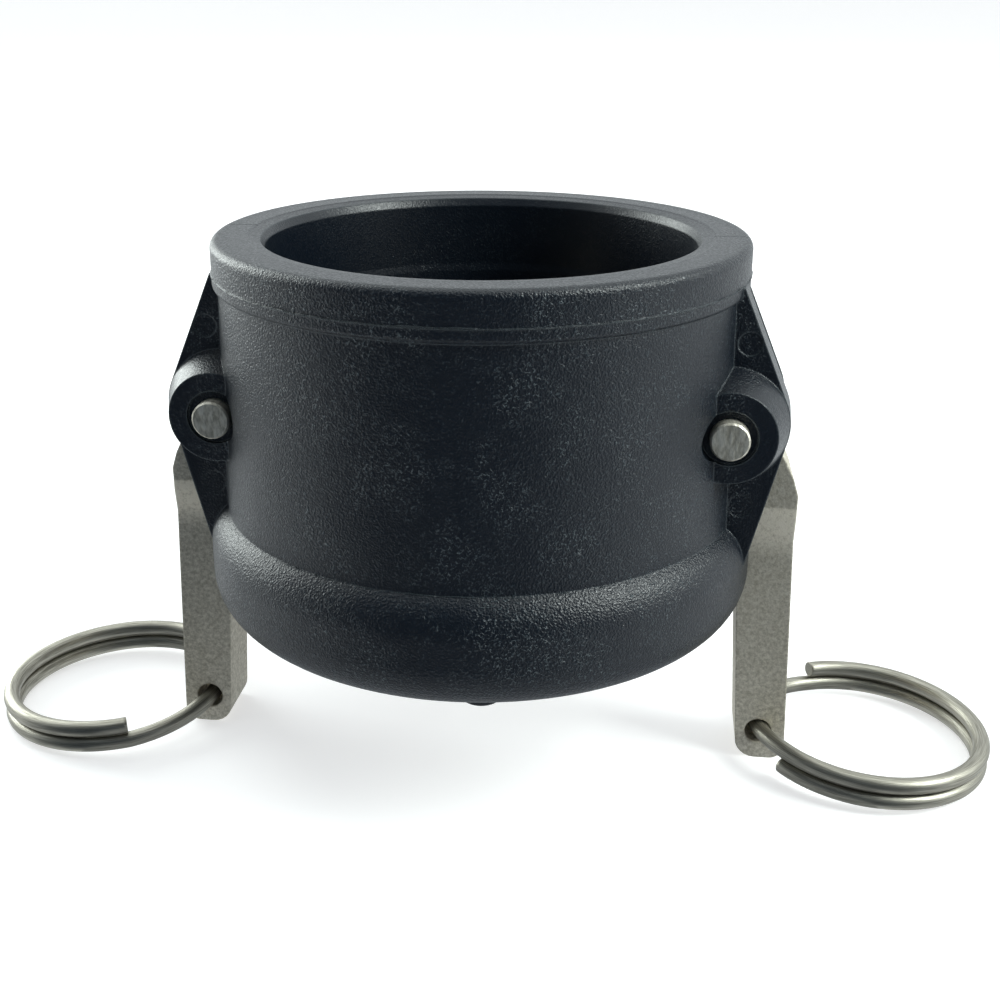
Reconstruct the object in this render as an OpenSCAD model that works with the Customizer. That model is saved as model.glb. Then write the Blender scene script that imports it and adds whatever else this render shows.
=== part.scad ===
// Camlock cap: a cup-shaped body that closes a hose coupling's plug end. Two cam levers turn on cross
// pins between pairs of moulded ears, and each lever carries a finger ring. The cap stands mouth up on
// the tips of its closed levers. Z is the bore's axis and X runs through both pins.

/* [Bore] */
// Radius of the bore, which slips over a 2 inch plug end
bore_r = 32; // [31:0.1:33]
// Depth from the rim to the floor that backs the gasket
bore_depth = 57.2; // [55:0.1:59]
// Length of the full-size land below the mouth chamfer
land_h = 10; // [9:0.2:10.2]
// How much narrower the bore is below the land
land_step = 0.15; // [0.1:0.01:0.2]
// Width of the chamfer at the mouth
mouth_chamfer = 0.65; // [0.4:0.05:0.9]
// Depth of the chamfer at the mouth
mouth_chamfer_depth = 1.5; // [1:0.1:2]

/* [Collar] */
// Thickness of the wall at the collar
collar_t = 7.9; // [7.7:0.05:8.4]
// Height of the collar
collar_h = 6.75; // [6:0.25:7.5]
// Radius of the rounded rim edge
collar_round = 1.2; // [0.8:0.1:1.6]
// Width of the dished lip inside the rim's flat
lip_w = 2.3; // [2:0.1:3]
// How far the lip falls towards the mouth
lip_fall = 0.35; // [0.2:0.05:0.5]
// How far the parting ridge round the collar stands out
ridge_proud = 0.1; // [0.06:0.02:0.16]
// Height of the parting ridge below the rim
ridge_drop = 4.9; // [3.5:0.1:5.2]

/* [Wall and base] */
// Thickness of the plain wall under the collar
wall_t = 7.1; // [6.8:0.1:7.3]
// How much wider the plain wall is at its foot
wall_flare = 0.6; // [0.3:0.1:0.8]
// How far the swelling round the gasket seat stands out of the wall's foot
bulge_proud = 2.8; // [2.6:0.1:3.3]
// Radius of the swelling's upper shoulder
shoulder_r = 7.9; // [7:0.1:8.5]
// Height of the shoulder's widest circle below the rim
shoulder_drop = 47.2; // [46.5:0.1:48]
// Height below the rim where the base's round edge starts
base_drop = 51; // [50:0.1:52]
// Radius of the base's round edge
base_round = 7.6; // [7:0.1:8.5]
// Spherical radius of the domed base
dome_r = 94; // [90:1:100]
// Radius of the round post under the base
post_r = 3.5; // [3:0.1:4]
// Height of the post's end below the rim
post_drop = 79; // [77:0.5:81]

/* [Ears] */
// Distance from the bore's wall out to each pin's axis
pivot_out = 5.3; // [5.1:0.1:5.6]
// Height of the pin's axis below the rim
pivot_drop = 25.15; // [24.5:0.05:26]
// Half of the slot between two ears
slot_half = 5.5; // [5.4:0.1:5.8]
// Distance from the middle plane to an ear's outer face
ear_face = 11.6; // [11:0.1:12.2]
// Distance from the middle plane to a boss's outer face
boss_face = 17.7; // [17.2:0.1:18.2]
// Radius of the boss where it meets the ear
boss_base_r = 8.9; // [8.5:0.1:9.3]
// Radius of the boss at its outer face
boss_end_r = 6.75; // [6.4:0.05:7.1]
// How far an ear's outline spreads between its outer face and the slot
ear_spread = 0.5; // [0.3:0.1:0.8]
// Distance from the bore's wall out to the ear's upper corner
ear_top_out = 6.5; // [6:0.1:6.8]
// Distance from the bore's wall out to the ear's lower corner
ear_foot_out = 9; // [8.7:0.1:9.4]
// Height of the ear's lower corner below the rim
ear_foot_drop = 47; // [46:0.5:48]
// Radius of the shallow recess round each pin end
recess_r = 4; // [3.8:0.1:4.3]
// Depth of the recess round each pin end
recess_depth = 0.8; // [0.5:0.1:1.2]
// Radius of the round ejector marks on the ears
mark_r = 1.75; // [1.5:0.05:2]

/* [Pins] */
// Radius of a cross pin
pin_r = 2.82; // [2.6:0.02:2.9]
// How far each pin end stands out of its boss
pin_proud = 1.55; // [1:0.05:2]
// Chamfer of the pin ends
pin_chamfer = 0.25; // [0.15:0.05:0.4]

/* [Levers] */
// Length from the pin's axis down to the lever's tip
lever_len = 59; // [57:0.5:61]
// Half width of the cam and the upper lever
cam_half = 5.2; // [5:0.05:5.2]
// Half width of the handle
handle_half = 4.75; // [4.6:0.05:4.8]
// Distance outwards from the pin's axis to the lever's shoulder
shoulder_out = 11.6; // [11.3:0.1:11.9]
// Height of the lever's shoulder below the pin's axis
shoulder_fall = 12.9; // [12:0.1:14]
// Height below the pin's axis where the lever starts to narrow
narrow_top = 16.6; // [16:0.1:17.5]
// Height below the pin's axis where the handle has its width
narrow_end = 20.5; // [19.5:0.1:21.5]
// Distance outwards from the pin's axis to the neck's inner corner
neck_in = 2.5; // [2.4:0.1:2.8]
// Height of the neck's inner corner below the pin's axis
neck_fall = 12.6; // [12:0.1:13]
// Distance outwards from the pin's axis to the tip's inner face
tip_in = 4.95; // [4.7:0.05:5.2]
// Distance outwards from the pin's axis to the tip's outer face
tip_out = 12.85; // [12.6:0.05:13.1]
// Radius of the hub round the pin
hub_r = 5.1; // [4.9:0.1:5.2]
// Radius of the cam's nose
cam_r = 5.5; // [5.3:0.1:5.6]
// How far the cam's nose reaches in from the pin's axis
cam_reach = 9.5; // [9.2:0.1:9.7]
// Running clearance between a pin and its lever
pin_play = 0.05; // [0.03:0.01:0.08]
// Radius of the ring hole
eye_r = 2.1; // [2.1:0.05:2.2]
// Distance of the ring hole outwards from the pin's axis
eye_x = 8.5; // [8.3:0.1:8.7]
// Distance of the ring hole above the lever's tip
eye_rise = 4.85; // [4.7:0.05:5.1]
// Radius of the rounded inner corner at the lever's tip
inner_round = 3.2; // [2.8:0.1:3.6]
// Radius of the rounded outer corner at the lever's tip
outer_round = 2.4; // [2:0.1:2.8]

/* [Rings] */
// Radius of a finger ring to the middle of its wire
ring_r = 18.1; // [17:0.1:19]
// Radius of the ring wire
wire_r = 1.3; // [1.15:0.05:1.35]
// Gap between the ring's two turns
turn_gap = 0.12; // [0.05:0.01:0.2]
// Angle between the lever's hole and the upper wire end
upper_end = 65; // [58:1:70]
// Angle between the lever's hole and the lower wire end
lower_end = 38; // [34:1:44]

/* [Gasket] */
// How far the gasket reaches under the bore's wall
gasket_reach = 1.5; // [1.2:0.1:1.8]
// Width of the gasket
gasket_w = 8.1; // [7:0.1:9]
// Thickness of the gasket
gasket_t = 6.35; // [6:0.05:6.6]

/* [Hidden] */
$fn = 96;
// Every radius follows from the bore's.
collar_r = bore_r + collar_t;
lip_r = bore_r + lip_w;
wall_r = bore_r + wall_t;
foot_r = wall_r + wall_flare;
bulge_r = foot_r + bulge_proud;
pivot_x = bore_r + pivot_out;
gasket_r = bore_r + gasket_reach;
gasket_bore_r = gasket_r - gasket_w;
// A reach that passes the whole cap, for cuts
far = 2 * bulge_r;
// The levers' tips stand on the table, so every height follows from the lever's length.
rim_z = pivot_drop + lever_len;
pivot_z = rim_z - pivot_drop;
floor_z = rim_z - bore_depth;
// The pin grips the ears all but exactly, and runs free in the lever.
pin_grip = 0.01;
// The gasket seat is an undercut at the bottom of the bore.
seat_r = gasket_r + 0.1;
seat_h = gasket_t + 0.15;
// The ring hole and the angle at which the ring's far side comes down to the table
eye_z = eye_rise;
eye_drop = pivot_z - eye_rise;
layer = wire_r + turn_gap / 2;
// The wire's travel from its upper end to the hole and to its lower end, as angles
full_turn = 360;
hole_travel = full_turn - upper_end;
lower_start = hole_travel - lower_end;
wire_travel = full_turn + lower_start;
ring_tilt = asin((eye_z - wire_r - layer - wire_h(hole_travel)) / (2 * ring_r));
// The window through the wall, measured from the pin's axis
window_up = 2.18 * cam_r;
window_down = 2.55 * cam_r;
// The body is seen charcoal, the gasket black, and the metal grey.
charcoal = "#3a3d41";
steel = "#8d8c88";
bright = "#a5a6a5";

// Points of an arc about (x, z), from angle a0 to a1 in n steps
function arc(x, z, r, a0, a1, n = 10) =
    [for (i = [0 : n]) [x + r * cos(a0 + (a1 - a0) * i / n), z + r * sin(a0 + (a1 - a0) * i / n)]];

// Where a line from point p touches a circle about c: turn is 1 for its left side and -1 for its right
function tangent(p, c, r, turn) =
    let (d = c - p, a = atan2(d[1], d[0]) + turn * asin(r / norm(d)), l = sqrt(norm(d) ^ 2 - r ^ 2))
    p + l * [cos(a), sin(a)];

// Turns the XZ profile of a flat piece upright, with its thickness centred on the middle plane
module upright(half) {
    rotate([90, 0, 0])
        translate([0, 0, -half])
            linear_extrude(2 * half)
                children();
}

// A round bar or hole along Y, from y0 to y1
module across(x, z, r, y0, y1, r_end = undef) {
    translate([x, y0, z])
        rotate([-90, 0, 0])
            cylinder(h = y1 - y0, r1 = r, r2 = is_undef(r_end) ? r : r_end);
}

// Runs its children at both sides of the cap
module both_sides() {
    for (turn = [0, 180])
        rotate([0, 0, turn])
            children();
}

// The turned outer form: collar, plain wall, swelling round the gasket seat and domed base
module outer_form() {
    shoulder_x = bulge_r - shoulder_r;
    shoulder_z = rim_z - shoulder_drop;
    crease_a = acos((foot_r - shoulder_x) / shoulder_r);
    edge_x = bulge_r - base_round;
    edge_z = rim_z - base_drop;
    dome_z = edge_z + sqrt((dome_r - base_round) ^ 2 - edge_x ^ 2);
    dome_a = atan2(edge_z - dome_z, edge_x);
    collar_z = rim_z - collar_h;
    ridge_z = rim_z - ridge_drop;
    rotate_extrude()
        polygon(concat(
            [[0, rim_z]],
            arc(collar_r - collar_round, rim_z - collar_round, collar_round, 90, 0, 6),
            [[collar_r, ridge_z + ridge_proud], [collar_r + ridge_proud, ridge_z]],
            [[collar_r, ridge_z - ridge_proud]],
            arc(collar_r - 0.5, collar_z + 0.5, 0.5, 0, -90, 4),
            [[wall_r + 0.3, collar_z], [wall_r, collar_z - 0.3]],
            arc(shoulder_x, shoulder_z, shoulder_r, crease_a, 0),
            arc(edge_x, edge_z, base_round, 0, dome_a),
            arc(0, dome_z, dome_r, dome_a, -90)));
    post_end = rim_z - post_drop;
    rotate_extrude()
        polygon(concat(
            [[0, floor_z], [post_r, floor_z]],
            arc(post_r - 0.5, post_end + 0.5, 0.5, 0, -90, 4),
            [[0, post_end]]));
}

// The hollow: dished lip, chamfered mouth, full-size land, bore and the undercut gasket seat
module hollow() {
    mouth_r = bore_r + mouth_chamfer;
    mouth_z = rim_z - mouth_chamfer_depth;
    land_z = mouth_z - land_h;
    deep_r = bore_r - land_step;
    lip_edge = 0.12;
    rotate_extrude()
        polygon([[0, rim_z + 1], [lip_r + lip_fall, rim_z + 1], [lip_r + lip_fall, rim_z],
            [lip_r, rim_z - lip_edge], [mouth_r, rim_z - lip_fall], [bore_r, mouth_z], [bore_r, land_z],
            [deep_r, land_z - 1.2], [deep_r, floor_z + seat_h], [seat_r, floor_z + seat_h],
            [seat_r, floor_z], [0, floor_z]]);
}

// The ears' outline about the boss, grown outwards by spread
module ear_outline(spread) {
    pivot = [pivot_x, pivot_z];
    top = [bore_r + ear_top_out + spread, rim_z - 0.75 * collar_h];
    foot = [bore_r + ear_foot_out + spread, rim_z - ear_foot_drop];
    root_x = bore_r + 0.3 * wall_t;
    r = boss_base_r + spread;
    top_touch = tangent(top, pivot, r, 1) - pivot;
    foot_touch = tangent(foot, pivot, r, -1) - pivot;
    polygon(concat(
        [[root_x, top[1]], top],
        arc(pivot[0], pivot[1], r, atan2(top_touch[1], top_touch[0]), atan2(foot_touch[1], foot_touch[0]), 40),
        [foot, [root_x, foot[1]]]));
}

// One side's ears as a solid block, with the flared boss that carries the pin at each end
module ear_block() {
    root_r = boss_base_r - 0.08;
    bury = 0.05;
    hull() {
        upright(ear_face)
            ear_outline(0);
        upright(slot_half)
            ear_outline(ear_spread);
    }
    for (side = [0, 180])
        translate([pivot_x, 0, 0])
            rotate([0, 0, side]) {
                across(0, pivot_z, root_r, ear_face - 1, ear_face + bury);
                across(0, pivot_z, root_r, ear_face + bury, boss_face, boss_end_r);
            }
}

// What is cut from one side: slot, window, pin hole, recesses round the pin ends and ejector marks
module ear_cuts() {
    window_h = window_up + window_down;
    slot_w = 2 * slot_half;
    translate([bore_r - cam_reach, -slot_half, pivot_z - window_down])
        cube([far, slot_w, window_h]);
    translate([wall_r, -slot_half, -1])
        cube([far, slot_w, rim_z - collar_h + 1]);
    across(pivot_x, pivot_z, pin_r + pin_grip, -boss_face - 1, boss_face + 1);
    for (side = [0, 180])
        translate([pivot_x, 0, 0])
            rotate([0, 0, side]) {
                across(0, pivot_z, recess_r, boss_face - recess_depth, boss_face + recess_r);
                for (mark = [[2.4, 12.2, 0.15], [2.6, -12.4, 0.06]])
                    across(side == 0 ? mark[0] : -mark[0], pivot_z + mark[1], mark_r, ear_face - mark[2],
                        ear_face + mark_r);
            }
}

// The mould's parting line where it crosses the rim's flat
module rim_seam() {
    seam = 0.16;
    translate([lip_r, -seam / 2, rim_z - seam])
        cube([collar_r - lip_r + 1, seam, 1]);
}

// The moulded body: one piece of black glass-filled nylon
module cap_body() {
    color(charcoal)
        difference() {
            union() {
                outer_form();
                both_sides()
                    ear_block();
            }
            hollow();
            both_sides() {
                ear_cuts();
                rim_seam();
            }
        }
}

// The flat rubber ring that the plug end presses on
module gasket() {
    soft = 0.5;
    low = floor_z;
    high = floor_z + gasket_t;
    color("#1b1b1c")
        rotate_extrude()
            polygon(concat(
                arc(gasket_r - soft, high - soft, soft, 90, 0, 4),
                arc(gasket_r - soft, low + soft, soft, 0, -90, 4),
                arc(gasket_bore_r + soft, low + soft, soft, -90, -180, 4),
                arc(gasket_bore_r + soft, high - soft, soft, 180, 90, 4)));
}

// A plain cross pin with chamfered ends
module pin() {
    end = boss_face + pin_proud;
    color(bright)
        translate([pivot_x, 0, pivot_z])
            rotate([90, 0, 0])
                rotate_extrude()
                    polygon([[0, -end], [pin_r - pin_chamfer, -end], [pin_r, -end + pin_chamfer],
                        [pin_r, end - pin_chamfer], [pin_r - pin_chamfer, end], [0, end]]);
}

// The lever in side view about the pin's axis: hub, cam nose, shouldered neck and leaning handle
module lever_blank() {
    nose_x = cam_r - cam_reach;
    nose_z = -0.1 * cam_r;
    across(0, 0, hub_r, -cam_half, cam_half);
    across(nose_x, nose_z, cam_r, -cam_half, cam_half);
    upright(cam_half)
        polygon(concat(
            [[0.75 * nose_x, nose_z - 0.94 * cam_r], [nose_x, 0], [0, 0.94 * hub_r], [0.47 * hub_r, 0.8 * hub_r]],
            [[0.81 * shoulder_out, -0.58 * shoulder_fall], [0.93 * shoulder_out, -0.8 * shoulder_fall]],
            [[shoulder_out, -shoulder_fall], [shoulder_out, -narrow_top], [0.993 * shoulder_out, -narrow_end]],
            arc(tip_out - outer_round, outer_round - lever_len, outer_round, 0, -90, 6),
            arc(tip_in + inner_round, inner_round - lever_len, inner_round, -90, -180, 6),
            [[neck_in, -neck_fall]]));
}

// The lever's end view: broad at the cam, narrowing over a short slope to the handle
module lever_width() {
    top = 1.4 * hub_r;
    low = -lever_len - 1;
    wide = cam_half + 1;
    polygon([[-wide, top], [wide, top], [wide, 1 - narrow_top], [cam_half, -narrow_top], [handle_half, -narrow_end],
        [handle_half, low], [-handle_half, low], [-handle_half, -narrow_end], [-cam_half, -narrow_top],
        [-wide, 1 - narrow_top]]);
}

// A cast stainless cam lever, closed: it hangs from the pin with its cam in the bore
module lever() {
    eye_chamfer = 0.15;
    through = 2 * cam_half;
    color(steel)
        translate([pivot_x, 0, pivot_z])
            difference() {
                intersection() {
                    lever_blank();
                    rotate([90, 0, 90])
                        translate([0, 0, -pivot_x])
                            linear_extrude(2 * pivot_x)
                                lever_width();
                }
                across(0, 0, pin_r + pin_play, -through, through);
                across(eye_x, -eye_drop, eye_r, -through, through);
                for (side = [0, 180])
                    rotate([0, 0, side])
                        across(side == 0 ? eye_x : -eye_x, -eye_drop, eye_r, handle_half - eye_chamfer,
                            handle_half + 0.01, eye_r + eye_chamfer + 0.01);
            }
}

// Height of the ring's wire over its middle plane: the upper turn, the crossover at the lever, then
// the lower turn. t is the angle travelled from the upper end.
function wire_h(t) =
    let (s = min(max(2 * (t - lower_start) / (upper_end + lower_end) - 1, -1), 1))
    layer * (0.2 * s ^ 3 - 1.2 * s);

// A split ring: two flat turns of wire that cross over inside the lever's hole
module ring() {
    sides = 14;
    steps = 110;
    points = [for (i = [0 : steps], k = [0 : sides - 1])
        let (
            t = wire_travel * i / steps,
            a = 180 - upper_end - t,
            b = full_turn * k / sides,
            r = ring_r + wire_r * cos(b)
        )
        [r * cos(a), r * sin(a), wire_h(t) - wire_h(hole_travel) + wire_r * sin(b)]];
    sleeve = [for (i = [0 : steps - 1], k = [0 : sides - 1])
        let (n = (k + 1) % sides)
        [i * sides + k, i * sides + n, (i + 1) * sides + n, (i + 1) * sides + k]];
    caps = [[for (k = [sides - 1 : -1 : 0]) k], [for (k = [0 : sides - 1]) steps * sides + k]];
    bow = handle_half ^ 2 / (2 * ring_r);
    color(bright)
        translate([pivot_x + eye_x - bow / 2, 0, eye_z])
            rotate([0, ring_tilt, 0])
                translate([ring_r, 0, 0])
                    polyhedron(points, concat(sleeve, caps), convexity = 6);
}

module pin_right() {
    pin();
}

module pin_left() {
    rotate([0, 0, 180])
        pin();
}

module lever_right() {
    lever();
}

module lever_left() {
    rotate([0, 0, 180])
        lever();
}

module ring_right() {
    ring();
}

module ring_left() {
    rotate([0, 0, 180])
        ring();
}

cap_body();
gasket();
pin_left();
pin_right();
lever_left();
lever_right();
ring_left();
ring_right();
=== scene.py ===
import math

import bpy
import numpy as np
from mathutils import Matrix, Vector


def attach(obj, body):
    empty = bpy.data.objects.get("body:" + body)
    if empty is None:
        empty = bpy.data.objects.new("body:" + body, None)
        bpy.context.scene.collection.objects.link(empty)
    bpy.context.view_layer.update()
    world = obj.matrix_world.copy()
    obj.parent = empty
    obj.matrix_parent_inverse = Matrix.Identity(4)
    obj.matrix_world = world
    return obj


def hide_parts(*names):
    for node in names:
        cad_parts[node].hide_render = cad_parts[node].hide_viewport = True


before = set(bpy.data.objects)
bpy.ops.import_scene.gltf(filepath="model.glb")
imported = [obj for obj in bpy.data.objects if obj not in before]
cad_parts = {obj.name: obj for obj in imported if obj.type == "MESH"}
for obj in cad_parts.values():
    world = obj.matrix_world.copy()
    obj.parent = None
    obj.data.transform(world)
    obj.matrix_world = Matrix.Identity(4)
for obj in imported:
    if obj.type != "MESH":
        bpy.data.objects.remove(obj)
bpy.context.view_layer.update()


# CAMERA
# The photograph was taken from a little to the right of the cap's front, above the rim and looking
# down on it. Its place and lens were worked out from the rim, the bore, the pins and the levers.
camera_data = bpy.data.cameras.new("camera")
camera_data.sensor_width = 36.0
camera_data.lens = 48.29
camera_data.shift_x = 0.01155
camera_data.shift_y = -0.03509
camera_data.clip_start = 0.01
camera = bpy.data.objects.new("camera", camera_data)
bpy.context.scene.collection.objects.link(camera)
camera_turn = Matrix.Rotation(math.radians(6.91), 4, "Z")
camera_fall = Matrix.Rotation(math.radians(90 - 20.24), 4, "X")
camera_roll = Matrix.Rotation(math.radians(0.16), 4, "Z")
camera_place = Matrix.Translation(Vector((0.0251, -0.1979, 0.1205)))
camera.matrix_world = camera_place @ camera_turn @ camera_fall @ camera_roll
bpy.context.scene.camera = camera


# BODY: one moulding in black glass-filled nylon
# The cup, its collar, ears and bosses come out of the mould together. The glass fibres that lie in
# the skin leave a fine, pale, streaky speckle, and the edges are a little rounded by the mould.


def linear(hex_colour):
    """An sRGB colour written as #rrggbb, as the linear RGBA that shaders use."""
    channels = [int(hex_colour[i : i + 2], 16) / 255 for i in (1, 3, 5)]
    return (*[c / 12.92 if c <= 0.04045 else ((c + 0.055) / 1.055) ** 2.4 for c in channels], 1.0)


def add(tree, kind, links=None, values=None, **settings):
    """Adds a node to a tree. settings sets its properties, values its inputs by name or number, and
    links maps an input's name or number to the output that feeds it."""
    node = tree.nodes.new(kind)
    for name, value in settings.items():
        setattr(node, name, value)
    for name, value in (values or {}).items():
        node.inputs[name].default_value = value
    for name, output in (links or {}).items():
        tree.links.new(output, node.inputs[name])
    return node


def new_material(name, **inputs):
    """An empty node material whose shader has those inputs set: returns (material, tree, shader)."""
    material = bpy.data.materials.new(name)
    material.use_nodes = True
    shader = material.node_tree.nodes["Principled BSDF"]
    for key, value in inputs.items():
        shader.inputs[key.replace("_", " ").title().replace("Ior", "IOR")].default_value = value
    return material, material.node_tree, shader


def moulded_nylon():
    """Glass-filled nylon, moulded: near black with a blue cast, and satin. The skin is pitted in
    grains 0.3 mm wide, and fibres that lie in it show as thin pale curls about 1 mm long, in
    drifts. Its edges carry a painted highlight, a paler tone where the rounded edge turns, and the
    cored inside and the ears, which the mould's smoother steel forms, are less pitted."""
    material, tree, shader = new_material("moulded_nylon")
    place = add(tree, "ShaderNodeTexCoord").outputs["Object"]
    pits = add(tree, "ShaderNodeTexNoise", {"Vector": place}, {"Scale": 3200.0, "Detail": 1.0, "Distortion": 0.3})
    strands = add(tree, "ShaderNodeTexNoise", {"Vector": place}, {"Scale": 1100.0, "Detail": 2.0, "Distortion": 0.6})
    drift = add(tree, "ShaderNodeTexNoise", {"Vector": place}, {"Scale": 110.0, "Detail": 3.0})
    flat = add(tree, "ShaderNodeVectorMath", {0: place}, {1: (1, 1, 0)}, operation="MULTIPLY")
    reach = add(tree, "ShaderNodeVectorMath", {0: flat.outputs[0]}, operation="LENGTH")
    cored = add(tree, "ShaderNodeMapRange", {"Value": reach.outputs["Value"]}, {1: 0.037, 2: 0.0385, 3: 0.35, 4: 1.0})
    eared = add(tree, "ShaderNodeMapRange", {"Value": reach.outputs["Value"]}, {1: 0.0425, 2: 0.0445, 3: 1.0, 4: 0.35})
    coarse = add(tree, "ShaderNodeMath", {0: cored.outputs[0], 1: eared.outputs[0]}, operation="MULTIPLY")
    off_line = add(tree, "ShaderNodeMath", {0: strands.outputs["Fac"]}, {1: 0.5}, operation="SUBTRACT")
    apart = add(tree, "ShaderNodeMath", {0: off_line.outputs[0]}, operation="ABSOLUTE")
    curl = add(tree, "ShaderNodeMapRange", {"Value": apart.outputs[0]}, {1: 0.0, 2: 0.022, 3: 1.0, 4: 0.0})
    broken = add(tree, "ShaderNodeMapRange", {"Value": pits.outputs["Fac"]}, {1: 0.46, 2: 0.56, 3: 0.0, 4: 1.0})
    shoal = add(tree, "ShaderNodeMapRange", {"Value": drift.outputs["Fac"]}, {1: 0.42, 2: 0.62, 3: 0.0, 4: 1.0})
    part = add(tree, "ShaderNodeMath", {0: curl.outputs[0], 1: broken.outputs[0]}, operation="MULTIPLY")
    fibre = add(tree, "ShaderNodeMath", {0: part.outputs[0], 1: shoal.outputs[0]}, operation="MULTIPLY")
    edge = add(tree, "ShaderNodeBevel", None, {"Radius": 0.0004}, samples=6)
    face = add(tree, "ShaderNodeNewGeometry").outputs["Normal"]
    turned = add(tree, "ShaderNodeVectorMath", {0: edge.outputs[0], 1: face}, operation="DOT_PRODUCT")
    # Painted highlight: the colour is lightened where the rounded edge's normal turns away from the face.
    painted_edge_highlight = add(tree, "ShaderNodeMapRange", {"Value": turned.outputs["Value"]}, {1: 0.99, 2: 0.8, 3: 0.0, 4: 0.55})
    grain = add(tree, "ShaderNodeMapRange", {"Value": pits.outputs["Fac"]}, {1: 0.62, 2: 0.75, 3: 0.0, 4: 0.7})
    thick = add(tree, "ShaderNodeMapRange", {"Value": drift.outputs["Fac"]}, {1: 0.4, 2: 0.62, 3: 0.36, 4: 0.75})
    speck = add(tree, "ShaderNodeMath", {0: grain.outputs[0], 1: thick.outputs[0]}, operation="MULTIPLY")
    strewn = add(tree, "ShaderNodeMath", {0: fibre.outputs[0], 1: speck.outputs[0]}, operation="MAXIMUM")
    sown = add(tree, "ShaderNodeMath", {0: strewn.outputs[0], 1: coarse.outputs[0]}, operation="MULTIPLY")
    bright = add(tree, "ShaderNodeMath", {0: sown.outputs[0], 1: painted_edge_highlight.outputs[0]}, operation="MAXIMUM")
    tone = add(tree, "ShaderNodeValToRGB", {"Fac": bright.outputs[0]})
    tone.color_ramp.elements[0].color = linear("#040c16")
    tone.color_ramp.elements[1].color = linear("#454f53")
    tree.links.new(tone.outputs[0], shader.inputs["Base Color"])
    rough = add(tree, "ShaderNodeMapRange", {"Value": pits.outputs["Fac"]}, {1: 0.35, 2: 0.65, 3: 0.42, 4: 0.28})
    tree.links.new(rough.outputs[0], shader.inputs["Roughness"])
    raised = add(tree, "ShaderNodeMath", {0: fibre.outputs[0]}, {1: 0.3}, operation="MULTIPLY")
    relief = add(tree, "ShaderNodeMath", {0: pits.outputs["Fac"], 1: raised.outputs[0]}, operation="ADD")
    height = add(tree, "ShaderNodeMath", {0: relief.outputs[0], 1: coarse.outputs[0]}, operation="MULTIPLY")
    bump = add(
        tree,
        "ShaderNodeBump",
        {"Height": height.outputs[0], "Normal": edge.outputs[0]},
        {"Strength": 0.7, "Distance": 0.0002},
    )
    tree.links.new(bump.outputs[0], shader.inputs["Normal"])
    return material


def paint(node, material):
    """Gives every material slot of a CAD node that material."""
    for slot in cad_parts[node].material_slots:
        slot.material = material


nylon = moulded_nylon()
paint("cap_body", nylon)



def mould_seam(name, radius, height, size):
    """A thin bead round the body where two parts of the mould meet: it wanders up and down, as sums of
    three sines of the angle, and swells and dies away as the product of two more."""
    turns, around = 720, 8
    angle = np.linspace(0, 2 * math.pi, turns, endpoint=False)[:, None]
    bead = np.linspace(0, 2 * math.pi, around, endpoint=False)[None, :]
    wander = 0.0001 * (np.sin(3 * angle + 0.4) + 0.6 * np.sin(11 * angle) + 0.5 * np.sin(37 * angle + 1.0))
    swell = size * (0.6 + 0.3 * np.sin(23 * angle) * np.sin(61 * angle + 0.5) + 0.1 * np.sin(140 * angle))
    reach = radius + swell * np.cos(bead)
    points = np.stack(
        [reach * np.cos(angle), reach * np.sin(angle), height + wander + swell * np.sin(bead)], axis=-1
    ).reshape(-1, 3)
    row, column = np.meshgrid(np.arange(turns), np.arange(around), indexing="ij")
    after, beside = (row + 1) % turns, (column + 1) % around
    faces = np.stack(
        [row * around + column, after * around + column, after * around + beside, row * around + beside], axis=-1
    ).reshape(-1, 4)
    mesh = bpy.data.meshes.new(name)
    mesh.from_pydata(points.tolist(), [], faces.tolist())
    mesh.shade_smooth()
    mesh.materials.append(nylon)
    piece = bpy.data.objects.new(name, mesh)
    bpy.context.scene.collection.objects.link(piece)
    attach(piece, "body")


mould_seam("collar_seam", 0.03995, 0.0793, 0.00014)
mould_seam("shoulder_seam", 0.03975, 0.0428, 0.00016)


# GASKET: one ring of moulded nitrile rubber
# It is pressed into the undercut seat at the bottom of the bore and held there by its own spring.


def moulded_rubber():
    """Nitrile rubber, moulded: near black and dull, with a fine talc-like grain about 0.5 mm wide."""
    material, tree, shader = new_material("moulded_rubber", roughness=0.7)
    place = add(tree, "ShaderNodeTexCoord").outputs["Object"]
    grain = add(tree, "ShaderNodeTexNoise", {"Vector": place}, {"Scale": 2000.0, "Detail": 2.0})
    tone = add(tree, "ShaderNodeValToRGB", {"Fac": grain.outputs["Fac"]})
    tone.color_ramp.elements[0].color = linear("#0f0f10")
    tone.color_ramp.elements[1].color = linear("#242424")
    tree.links.new(tone.outputs[0], shader.inputs["Base Color"])
    bump = add(tree, "ShaderNodeBump", {"Height": grain.outputs["Fac"]}, {"Strength": 0.2, "Distance": 0.0001})
    tree.links.new(bump.outputs[0], shader.inputs["Normal"])
    return material


paint("gasket", moulded_rubber())


# PINS: two lengths of drawn stainless bar
# Each is sheared to length and pressed through its ears, so that its end stands in the boss's recess.


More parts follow.
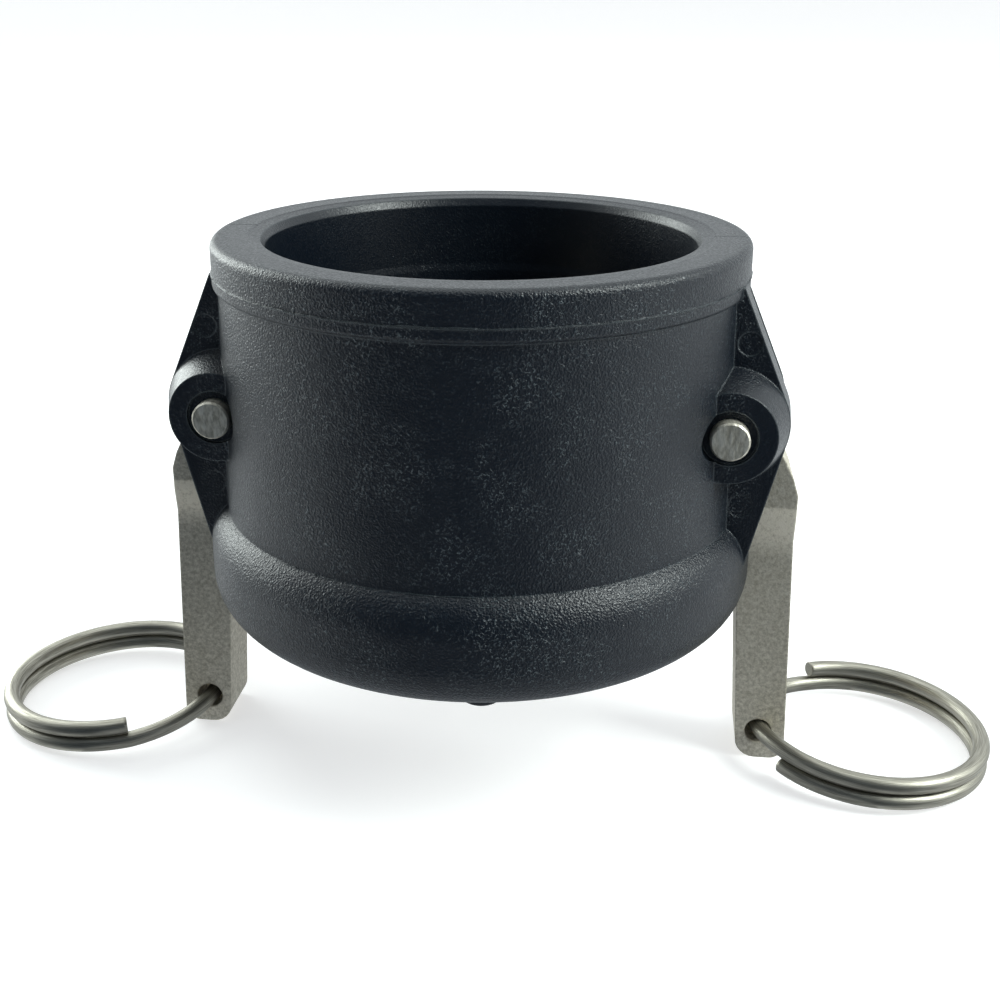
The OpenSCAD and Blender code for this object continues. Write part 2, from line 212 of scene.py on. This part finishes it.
def sheared_bar():
    """Drawn stainless bar with sheared ends: a satin grey with scuffs about 0.6 mm wide."""
    material, tree, shader = new_material("sheared_bar", metallic=1.0)
    place = add(tree, "ShaderNodeTexCoord").outputs["Object"]
    drag = add(tree, "ShaderNodeMapping", {"Vector": place}, {"Scale": (1600, 400, 700), "Rotation": (0, 0.5, 0)})
    scuff = add(tree, "ShaderNodeTexNoise", {"Vector": drag.outputs[0]}, {"Scale": 1.0, "Detail": 4.0})
    tone = add(tree, "ShaderNodeValToRGB", {"Fac": scuff.outputs["Fac"]})
    tone.color_ramp.elements[0].position = 0.35
    tone.color_ramp.elements[0].color = linear("#b9b5a9")
    tone.color_ramp.elements[1].position = 0.65
    tone.color_ramp.elements[1].color = linear("#f6f1e4")
    tree.links.new(tone.outputs[0], shader.inputs["Base Color"])
    rough = add(tree, "ShaderNodeMapRange", {"Value": scuff.outputs["Fac"]}, {1: 0.3, 2: 0.7, 3: 0.7, 4: 0.5})
    tree.links.new(rough.outputs[0], shader.inputs["Roughness"])
    bump = add(tree, "ShaderNodeBump", {"Height": scuff.outputs["Fac"]}, {"Strength": 0.5, "Distance": 0.0002})
    tree.links.new(bump.outputs[0], shader.inputs["Normal"])
    return material


pin_steel = sheared_bar()
paint("pin_left", pin_steel)
paint("pin_right", pin_steel)


# LEVERS: two investment castings in stainless steel
# Each is cast with its cam and hub, drilled for its pin and its ring, and shot-blasted all over.


def cast_stainless():
    """Stainless steel, investment cast and shot-blasted: a dull warm grey. The blast leaves dimples
    about 0.3 mm wide, and the casting's skin is mottled in patches 0.7 mm wide. A band at the
    shoulder, 4 mm high with a sharp upper edge, carries a painted highlight: paler and less metallic."""
    material, tree, shader = new_material("cast_stainless", metallic=1.0)
    place = add(tree, "ShaderNodeTexCoord").outputs["Object"]
    dimple = add(tree, "ShaderNodeTexNoise", {"Vector": place}, {"Scale": 3300.0, "Detail": 2.0})
    skin = add(tree, "ShaderNodeTexNoise", {"Vector": place}, {"Scale": 1500.0, "Detail": 4.0, "Roughness": 0.75})
    level = add(tree, "ShaderNodeSeparateXYZ", {"Vector": place}).outputs["Z"]
    # Painted highlight: a band at the shoulder, 4 mm high with a sharp upper edge, is made paler and less metallic.
    over = add(tree, "ShaderNodeMapRange", {"Value": level}, {1: 0.0355, 2: 0.0398, 3: 0.0, 4: 1.0})
    under = add(tree, "ShaderNodeMapRange", {"Value": level}, {1: 0.0438, 2: 0.0442, 3: 1.0, 4: 0.0})
    painted_band_highlight = add(tree, "ShaderNodeMath", {0: over.outputs[0], 1: under.outputs[0]}, operation="MULTIPLY")
    skin_and_band_highlight = add(tree, "ShaderNodeMath", {0: painted_band_highlight.outputs[0], 2: skin.outputs["Fac"]}, {1: 0.15}, operation="MULTIPLY_ADD")
    tone = add(tree, "ShaderNodeValToRGB", {"Fac": skin_and_band_highlight.outputs[0]})
    tone.color_ramp.elements[0].position = 0.36
    tone.color_ramp.elements[0].color = linear("#c3bcad")
    tone.color_ramp.elements[1].position = 0.64
    tone.color_ramp.elements[1].color = linear("#e9e3d5")
    tree.links.new(tone.outputs[0], shader.inputs["Base Color"])
    rough = add(tree, "ShaderNodeMapRange", {"Value": skin.outputs["Fac"]}, {1: 0.35, 2: 0.65, 3: 0.74, 4: 0.6})
    tree.links.new(rough.outputs[0], shader.inputs["Roughness"])
    band_highlight_metallic = add(tree, "ShaderNodeMapRange", {"Value": painted_band_highlight.outputs[0]}, {1: 0.0, 2: 1.0, 3: 1.0, 4: 0.89})
    tree.links.new(band_highlight_metallic.outputs[0], shader.inputs["Metallic"])
    edge = add(tree, "ShaderNodeBevel", None, {"Radius": 0.0004}, samples=6)
    height = add(tree, "ShaderNodeMath", {0: dimple.outputs["Fac"], 1: skin.outputs["Fac"]}, operation="ADD")
    bump = add(
        tree,
        "ShaderNodeBump",
        {"Height": height.outputs[0], "Normal": edge.outputs[0]},
        {"Strength": 0.4, "Distance": 0.0001},
    )
    tree.links.new(bump.outputs[0], shader.inputs["Normal"])
    return material


lever_steel = cast_stainless()
paint("lever_left", lever_steel)
paint("lever_right", lever_steel)


# FINGER RINGS: two split rings of drawn stainless wire
# Each is wound in two flat turns that cross over inside the lever's hole, where it was twisted on,
# and both of its ends are cut off square.
ring_radius = 0.01807
wire_radius = 0.0013
turn_height = 0.00136
upper_end = 65.0
lower_end = 38.0
hole_centre = (0.045488, 0.00485)


def wire_height(travel):
    """Height over the ring's middle plane at that travel in degrees from the upper end: the upper turn,
    a fall through the lower one's height at the lever, then the lower turn. The fall is a cubic."""
    s = np.clip(2 * (travel - (360 - upper_end - lower_end)) / (upper_end + lower_end) - 1, -1, 1)
    return turn_height * (0.2 * s**3 - 1.2 * s)


hole_height = wire_height(np.array(360 - upper_end))
ring_fall = math.asin((hole_centre[1] - wire_radius - turn_height - hole_height) / (2 * ring_radius))


def split_ring(name, side):
    """A tube round the ring's path. Its section is a circle that lies across the path, a little smaller
    at the two ends, where the cut edges are broken. side is 1 for the right ring and -1 for the left."""
    steps, around = 420, 20
    length = 720 - upper_end - lower_end
    brim = 0.0001
    nose = math.degrees(brim / ring_radius)
    travel = np.concatenate([[0.0], np.linspace(nose, length - nose, steps - 1), [length]])
    thickness = np.full(steps + 1, wire_radius)
    thickness[[0, -1]] -= brim
    turn = np.radians(180 - upper_end - travel)[:, None]
    bead = np.linspace(0, 2 * math.pi, around, endpoint=False)[None, :]
    reach = ring_radius + thickness[:, None] * np.cos(bead)
    lift = (wire_height(travel) - hole_height)[:, None] + thickness[:, None] * np.sin(bead)
    x, y, z = ring_radius + reach * np.cos(turn), reach * np.sin(turn), lift
    x, z = x * math.cos(ring_fall) + z * math.sin(ring_fall), z * math.cos(ring_fall) - x * math.sin(ring_fall)
    points = np.stack([side * (x + hole_centre[0]), side * y, z + hole_centre[1]], axis=-1).reshape(-1, 3)
    row, column = np.meshgrid(np.arange(steps), np.arange(around), indexing="ij")
    beside = (column + 1) % around
    sleeve = np.stack(
        [row * around + column, row * around + beside, (row + 1) * around + beside, (row + 1) * around + column],
        axis=-1,
    ).reshape(-1, 4)
    ends = [list(range(around - 1, -1, -1)), list(range(steps * around, (steps + 1) * around))]
    mesh = bpy.data.meshes.new(name)
    mesh.from_pydata(points.tolist(), [], sleeve.tolist() + ends)
    mesh.shade_smooth()
    mesh.polygons[len(sleeve)].use_smooth = False
    mesh.polygons[len(sleeve) + 1].use_smooth = False
    along = np.radians(travel)[:, None] * ring_radius + 0 * bead
    grain = np.stack([wire_radius * np.cos(bead) + 0 * along, wire_radius * np.sin(bead) + 0 * along, along / 30], axis=-1)
    mesh.attributes.new("along_wire", "FLOAT_VECTOR", "POINT").data.foreach_set("vector", grain.ravel())
    piece = bpy.data.objects.new(name, mesh)
    bpy.context.scene.collection.objects.link(piece)
    return piece


def drawn_wire():
    """Stainless wire, drawn: a bright satin. The die leaves fine lines along the wire, about 0.1 mm
    wide and 3 mm long."""
    material, tree, shader = new_material("drawn_wire", metallic=1.0)
    place = add(tree, "ShaderNodeAttribute", attribute_name="along_wire").outputs["Vector"]
    lines = add(tree, "ShaderNodeTexNoise", {"Vector": place}, {"Scale": 7000.0, "Detail": 3.0})
    tone = add(tree, "ShaderNodeValToRGB", {"Fac": lines.outputs["Fac"]})
    tone.color_ramp.elements[0].position = 0.3
    tone.color_ramp.elements[0].color = linear("#807d74")
    tone.color_ramp.elements[1].position = 0.7
    tone.color_ramp.elements[1].color = linear("#b8b4a8")
    tree.links.new(tone.outputs[0], shader.inputs["Base Color"])
    rough = add(tree, "ShaderNodeMapRange", {"Value": lines.outputs["Fac"]}, {1: 0.3, 2: 0.7, 3: 0.52, 4: 0.4})
    tree.links.new(rough.outputs[0], shader.inputs["Roughness"])
    bump = add(tree, "ShaderNodeBump", {"Height": lines.outputs["Fac"]}, {"Strength": 0.3, "Distance": 0.00005})
    tree.links.new(bump.outputs[0], shader.inputs["Normal"])
    return material


ring_steel = drawn_wire()
for side, end in ((1, "right"), (-1, "left")):
    ring = split_ring(f"finger_ring_{end}", side)
    ring.data.materials.append(ring_steel)
    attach(ring, f"ring_{end}")
    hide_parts(f"ring_{end}")


# FLOOR AND LIGHT: a white sweep under a studio's soft light
# The floor rises all round into a low wall, so that it has no edge from any side. The light comes
# from above, behind and both sides, and it is dark behind the camera.
rim_distance = 2.4
wall_curve = 1.2
radius = np.concatenate([[0.25, 0.6, 1.2, 1.8, rim_distance], rim_distance + wall_curve * np.sin(np.linspace(0.1, 1.5, 16))])
rise = np.concatenate([np.zeros(5), wall_curve * (1 - np.cos(np.linspace(0.1, 1.5, 16)))])
swing = np.linspace(0, 2 * math.pi, 96, endpoint=False)
sweep_points = np.stack(
    [radius[:, None] * np.cos(swing), radius[:, None] * np.sin(swing), rise[:, None] + 0 * swing], axis=-1
).reshape(-1, 3)
row, column = np.meshgrid(np.arange(len(radius) - 1), np.arange(96), indexing="ij")
beside = (column + 1) % 96
sweep_faces = np.stack(
    [row * 96 + column, (row + 1) * 96 + column, (row + 1) * 96 + beside, row * 96 + beside], axis=-1
).reshape(-1, 4)
floor_mesh = bpy.data.meshes.new("floor")
floor_mesh.from_pydata(sweep_points.tolist(), [], sweep_faces.tolist() + [list(range(96))])
floor_mesh.shade_smooth()
floor = bpy.data.objects.new("floor", floor_mesh)
bpy.context.scene.collection.objects.link(floor)
floor_paint, floor_tree, floor_shader = new_material("white_paper", roughness=0.95)
floor_shader.inputs["Base Color"].default_value = linear("#d0d0d0")
floor_shader.inputs["Emission Color"].default_value = linear("#ffffff")
floor_shader.inputs["Emission Strength"].default_value = 0.55
floor_mesh.materials.append(floor_paint)
floor.visible_glossy = False

world = bpy.data.worlds.new("studio")
bpy.context.scene.world = world
world.use_nodes = True
sky = world.node_tree
look = add(sky, "ShaderNodeTexCoord").outputs["Generated"]
behind = add(sky, "ShaderNodeVectorMath", {0: look}, {1: (-0.1, -0.98, 0.14)}, operation="DOT_PRODUCT")
shade = add(sky, "ShaderNodeValToRGB", {"Fac": behind.outputs["Value"]})
shade.color_ramp.interpolation = "EASE"
shade.color_ramp.elements[0].position = 0.2
shade.color_ramp.elements[0].color = (0.9, 0.96, 0.98, 1)
shade.color_ramp.elements[1].position = 0.7
shade.color_ramp.elements[1].color = (0.045, 0.06, 0.08, 1)
middle = shade.color_ramp.elements.new(0.5)
middle.color = (0.34, 0.38, 0.41, 1)
sky.links.new(shade.outputs[0], sky.nodes["Background"].inputs["Color"])
sky.nodes["Background"].inputs["Strength"].default_value = 1.0

# Painted shade: a glowing grey disc just above the floor under the cap, seen only in reflections, stands for the floor
# darkened by the cap's shadow.
shadow_points = 0.066 * np.stack([np.cos(swing), np.sin(swing), 0.01 + 0 * swing], axis=-1)
shadow_mesh = bpy.data.meshes.new("shadow_card")
shadow_mesh.from_pydata(shadow_points.tolist(), [], [list(range(96))])
shadow = bpy.data.objects.new("shadow_card", shadow_mesh)
bpy.context.scene.collection.objects.link(shadow)
card_paint, card_tree, card_shader = new_material("grey_card", roughness=1.0)
card_shader.inputs["Base Color"].default_value = linear("#000000")
card_shader.inputs["Emission Color"].default_value = linear("#a8aeb2")
card_shader.inputs["Emission Strength"].default_value = 1.0
shadow_mesh.materials.append(card_paint)
shadow.visible_camera = False
shadow.visible_diffuse = False
shadow.visible_shadow = False
shadow.visible_transmission = False


def softbox(name, place, aim, size, power):
    """A square area light of that size in metres, at place and facing aim."""
    data = bpy.data.lights.new(name, "AREA")
    data.size = size
    data.energy = power
    data.color = (0.93, 1.0, 0.97)
    lamp = bpy.data.objects.new(name, data)
    lamp.location = place
    lamp.rotation_euler = (Vector(aim) - Vector(place)).to_track_quat("-Z", "Y").to_euler()
    lamp.visible_camera = False
    bpy.context.scene.collection.objects.link(lamp)


softbox("top_light", (0.0, 0.2, 1.2), (0, 0, 0.04), 1.2, 3.4)
softbox("left_light", (-0.72, 0.42, 0.31), (0, 0, 0.04), 0.6, 6.5)
softbox("right_light", (0.58, -0.14, 0.5), (0, 0, 0.04), 0.3, 5)
bpy.context.scene.view_settings.view_transform = "Standard"
